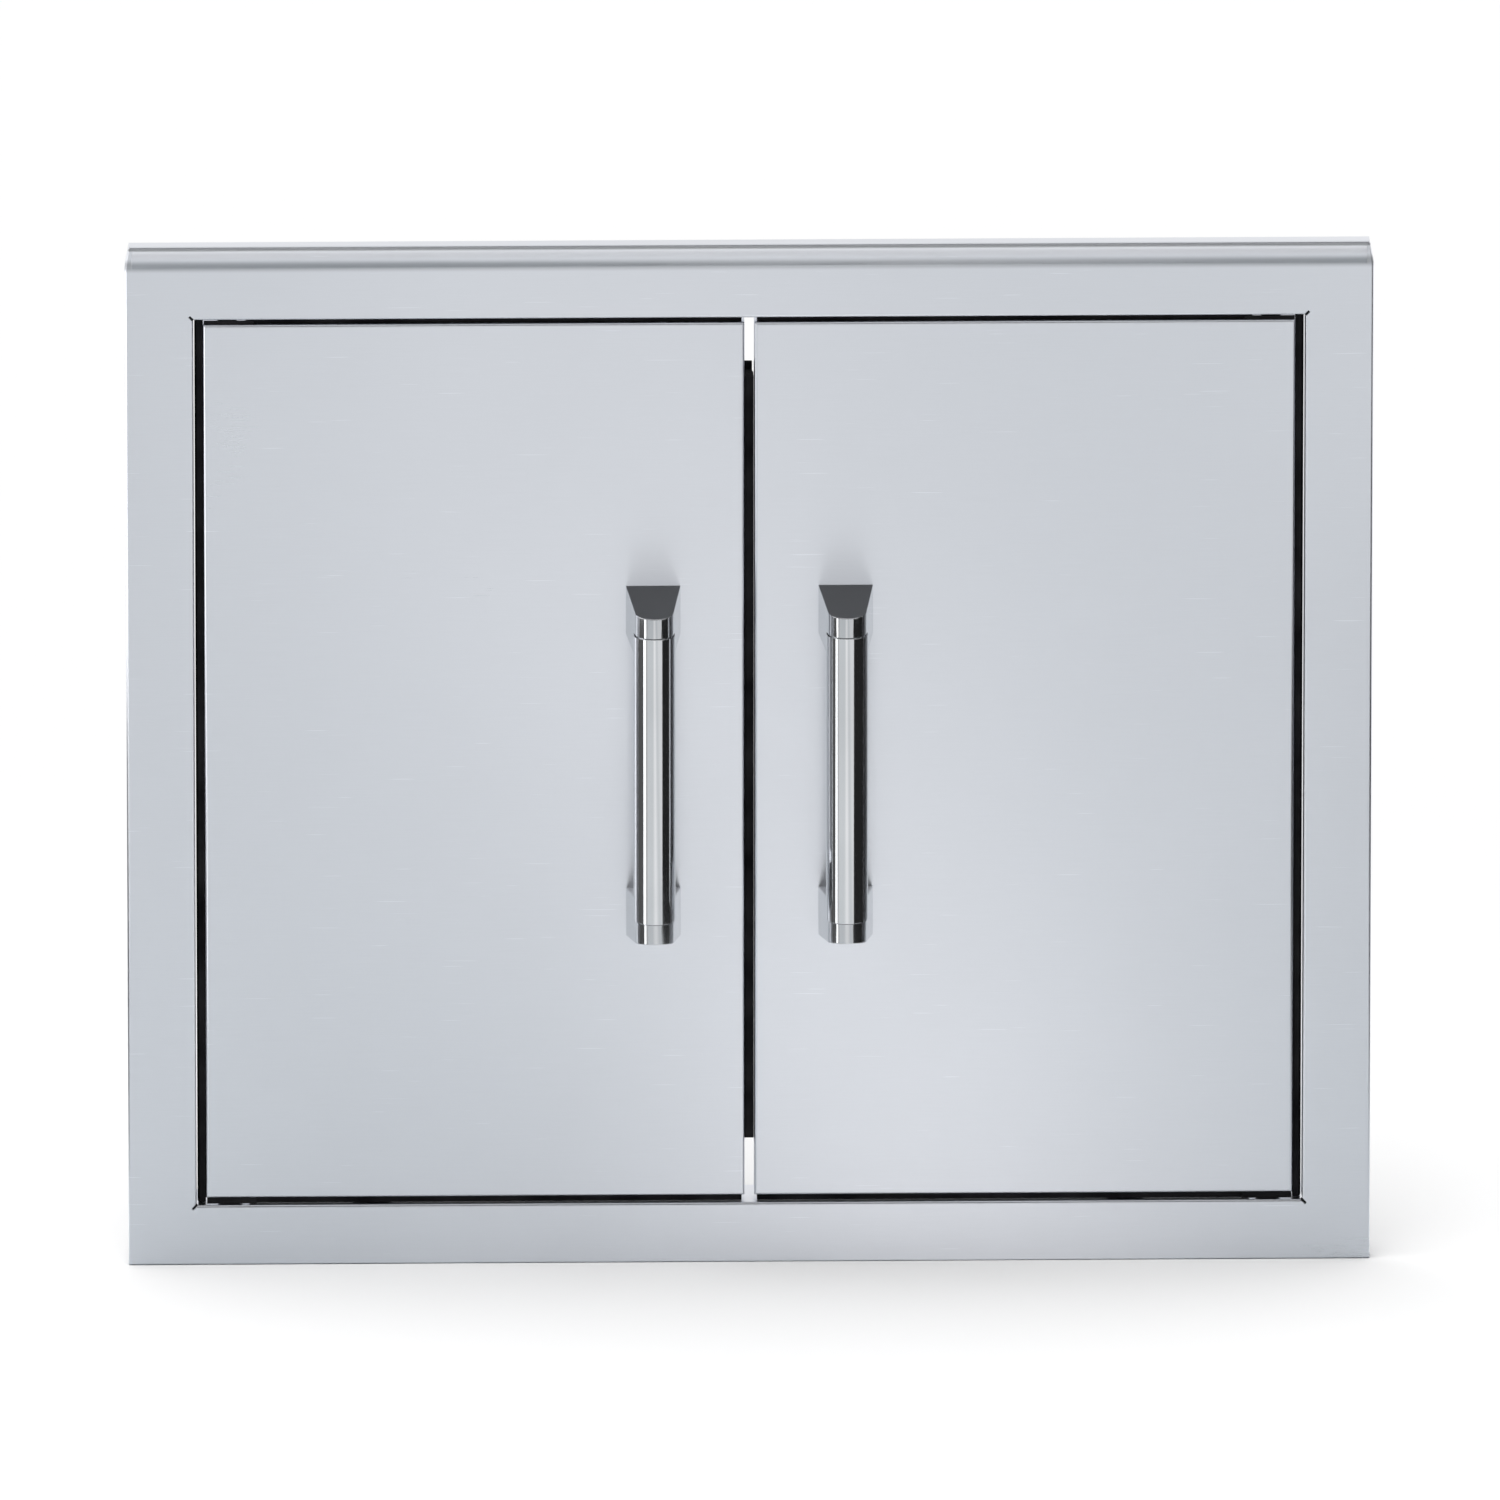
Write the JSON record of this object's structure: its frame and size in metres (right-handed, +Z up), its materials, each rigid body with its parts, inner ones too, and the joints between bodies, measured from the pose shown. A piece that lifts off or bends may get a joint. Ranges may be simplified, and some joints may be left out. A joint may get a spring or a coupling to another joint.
{
  "type": "outdoor kitchen island access door",
  "caption": "Framed pair of flush stainless access doors with bar handles for an outdoor kitchen island.",
  "frame": {"origin": "centre of the frame's outline on the plane of the lips that bear on the wall", "axes": "+X to the right along the width, +Y into the island, +Z up"},
  "size_m": [0.6604, 0.0807, 0.5588],
  "materials": {
    "brushed_stainless": "fine horizontal brush",
    "inner_stainless": "mill finish, satin",
    "polished_stainless": "polished tube",
    "plated_casting": "bright plated casting",
    "plain_steel": "zinc-plated, turned or rolled",
    "spring_steel": "drawn stainless wire",
    "black_rubber": "matt black",
    "black_nylon": "turned black nylon",
    "black_plastic": "moulded, fine grain",
    "ferrite": "sintered"
  },
  "bodies": {
    "frame": {"face_frame": "brushed_stainless", "upper_pivot_plates": "inner_stainless", "lower_pivot_plates": "inner_stainless", "upper_pivot_bushes": "black_nylon", "lower_pivot_bushes": "black_nylon", "catch_screws": "plain_steel", "left_catch_housing": "black_plastic", "left_catch_magnet": "ferrite", "left_catch_pole_plates": "plain_steel", "left_stop_bracket": "inner_stainless", "left_stop_bumper": "black_rubber", "right_catch_housing": "black_plastic", "right_catch_magnet": "ferrite", "right_catch_pole_plates": "plain_steel", "right_stop_bracket": "inner_stainless", "right_stop_bumper": "black_rubber"},
    "left_door": {"left_door_skin": "brushed_stainless", "left_door_liner": "inner_stainless", "left_strike_plate": "plain_steel", "left_upper_hinge_bracket": "inner_stainless", "left_lower_hinge_bracket": "inner_stainless", "left_lower_hinge_pin": "plain_steel", "left_hinge_spring": "spring_steel", "left_handle_bar": "polished_stainless", "left_upper_handle_post": "plated_casting", "left_lower_handle_post": "plated_casting", "left_handle_screws": "plain_steel", "left_top_edge_seal": "black_rubber", "left_bottom_edge_seal": "black_rubber", "left_hinge_edge_seal": "black_rubber", "centre_seal": "black_rubber"},
    "left_sprung_pin": {"left_upper_hinge_pin": "plain_steel", "left_hinge_clip": "spring_steel"},
    "right_door": {"right_door_skin": "brushed_stainless", "right_door_liner": "inner_stainless", "right_strike_plate": "plain_steel", "right_upper_hinge_bracket": "inner_stainless", "right_lower_hinge_bracket": "inner_stainless", "right_lower_hinge_pin": "plain_steel", "right_hinge_spring": "spring_steel", "right_handle_bar": "polished_stainless", "right_upper_handle_post": "plated_casting", "right_lower_handle_post": "plated_casting", "right_handle_screws": "plain_steel", "right_top_edge_seal": "black_rubber", "right_bottom_edge_seal": "black_rubber", "right_hinge_edge_seal": "black_rubber"},
    "right_sprung_pin": {"right_upper_hinge_pin": "plain_steel", "right_hinge_clip": "spring_steel"}
  },
  "joints": [
    {"name": "left_door_hinge", "type": "hinge", "parent": "frame", "child": "left_door", "pos_m": [-0.276, 0.0005, 0], "axis": [0, 0, -1], "range_deg": [0, 110]},
    {"name": "left_pin_release", "type": "slide", "parent": "left_door", "child": "left_sprung_pin", "axis": [0, 0, -1], "range_m": [0, 0.008], "stiffness_N_per_m": 600, "springref_m": -0.006, "deforming": ["left_hinge_spring"]},
    {"name": "right_door_hinge", "type": "hinge", "parent": "frame", "child": "right_door", "pos_m": [0.276, 0.0005, 0], "axis": [0, 0, 1], "range_deg": [0, 110]},
    {"name": "right_pin_release", "type": "slide", "parent": "right_door", "child": "right_sprung_pin", "axis": [0, 0, -1], "range_m": [0, 0.008], "stiffness_N_per_m": 600, "springref_m": -0.006, "deforming": ["right_hinge_spring"]}
  ]
}
